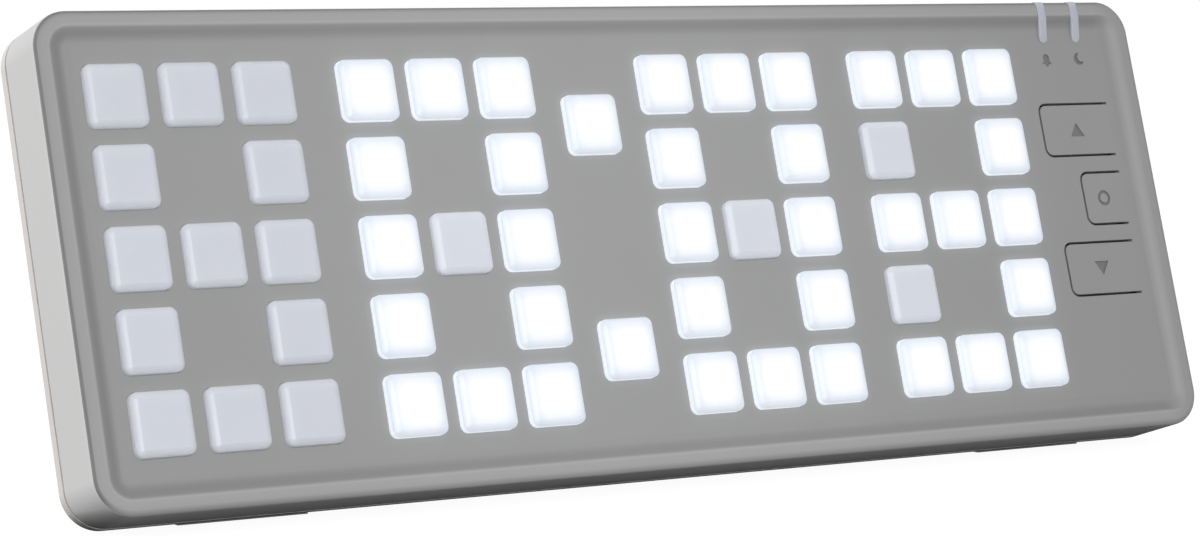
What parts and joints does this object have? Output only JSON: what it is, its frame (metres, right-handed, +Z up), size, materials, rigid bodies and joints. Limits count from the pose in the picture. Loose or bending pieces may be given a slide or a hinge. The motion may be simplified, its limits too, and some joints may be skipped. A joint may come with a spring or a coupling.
{
  "type": "digital alarm clock",
  "caption": "Slim leaning alarm clock: grey slab with square raised key windows as digits, hinged button tabs, light strips on the rim and a fold-out leg at the back.",
  "frame": {"origin": "middle of the footprint on the table, leg folded out", "axes": "+X to the right seen from the front, +Y to the back, +Z up"},
  "size_m": [0.23, 0.0446, 0.0839],
  "materials": {
    "case_plastic": "fine matt",
    "cover_plastic": "fine matt",
    "milky_plastic": "milky, satin",
    "black_plastic": "matt",
    "board_laminate": "lacquered",
    "lamp_resin": "clear resin",
    "plunger_plastic": "plain",
    "plated_metal": "nickel plated",
    "can_metal": "plain",
    "screw_metal": "zinc plated",
    "pad_rubber": "matt"
  },
  "bodies": {
    "case": {"front_housing": "case_plastic", "rear_cover": "cover_plastic", "hour_tens_windows": "milky_plastic", "hour_units_windows": "milky_plastic", "colon_windows": "milky_plastic", "minute_tens_windows": "milky_plastic", "minute_units_windows": "milky_plastic", "light_shield": "black_plastic", "main_board": "board_laminate", "display_leds": "lamp_resin", "indicator_leds": "lamp_resin", "alarm_light_pipe": "milky_plastic", "snooze_light_pipe": "milky_plastic", "switch_bodies": "black_plastic", "clock_chip": "black_plastic", "driver_chips": "black_plastic", "crystal": "plated_metal", "capacitors": "can_metal", "buzzer": "black_plastic", "power_socket": "plated_metal", "power_tongue": "black_plastic", "cell_holder": "black_plastic", "cell_clip": "plated_metal", "coin_cell": "plated_metal", "stand_pin": "plated_metal", "base_pads": "pad_rubber", "case_screws": "screw_metal", "board_screws": "screw_metal"},
    "up_tab": {"up_button": "case_plastic"},
    "mode_tab": {"mode_button": "case_plastic"},
    "down_tab": {"down_button": "case_plastic"},
    "up_switch": {"up_plunger": "plunger_plastic"},
    "mode_switch": {"mode_plunger": "plunger_plastic"},
    "down_switch": {"down_plunger": "plunger_plastic"},
    "leg": {"stand": "cover_plastic", "stand_pad": "pad_rubber"},
    "door": {"battery_door": "cover_plastic"}
  },
  "joints": [
    {"name": "up_press", "type": "hinge", "parent": "case", "child": "up_tab", "pos_m": [0.10705, -0.00373, 0.05947], "axis": [0, -0.2957, -0.9553], "range_deg": [0, 1.74], "stiffness_Nm_per_rad": 0.604},
    {"name": "mode_press", "type": "hinge", "parent": "case", "child": "mode_tab", "pos_m": [0.10705, -0.00776, 0.04648], "axis": [0, -0.2957, -0.9553], "range_deg": [0, 3.24], "stiffness_Nm_per_rad": 0.176},
    {"name": "down_press", "type": "hinge", "parent": "case", "child": "down_tab", "pos_m": [0.10705, -0.01178, 0.03349], "axis": [0, -0.2957, -0.9553], "range_deg": [0, 1.74], "stiffness_Nm_per_rad": 0.604},
    {"name": "up_switch_travel", "type": "slide", "parent": "case", "child": "up_switch", "axis": [0, 0.9553, -0.2957], "range_m": [0, 0.00035]},
    {"name": "mode_switch_travel", "type": "slide", "parent": "case", "child": "mode_switch", "axis": [0, 0.9553, -0.2957], "range_m": [0, 0.00035]},
    {"name": "down_switch_travel", "type": "slide", "parent": "case", "child": "down_switch", "axis": [0, 0.9553, -0.2957], "range_m": [0, 0.00035]},
    {"name": "stand_fold", "type": "hinge", "parent": "case", "child": "leg", "pos_m": [0, 0.0109, 0.06719], "axis": [1, 0, 0], "range_deg": [-25.61, 0]},
    {"name": "battery_door_lift", "type": "slide", "parent": "case", "child": "door", "axis": [0, 0.9553, -0.2957], "range_m": [0, 0.012]}
  ],
  "couplings": [
    {"joint": "up_switch_travel", "follows": "up_press", "m_per_rad": 0.0115},
    {"joint": "mode_switch_travel", "follows": "mode_press", "m_per_rad": 0.0062},
    {"joint": "down_switch_travel", "follows": "down_press", "m_per_rad": 0.0115}
  ]
}
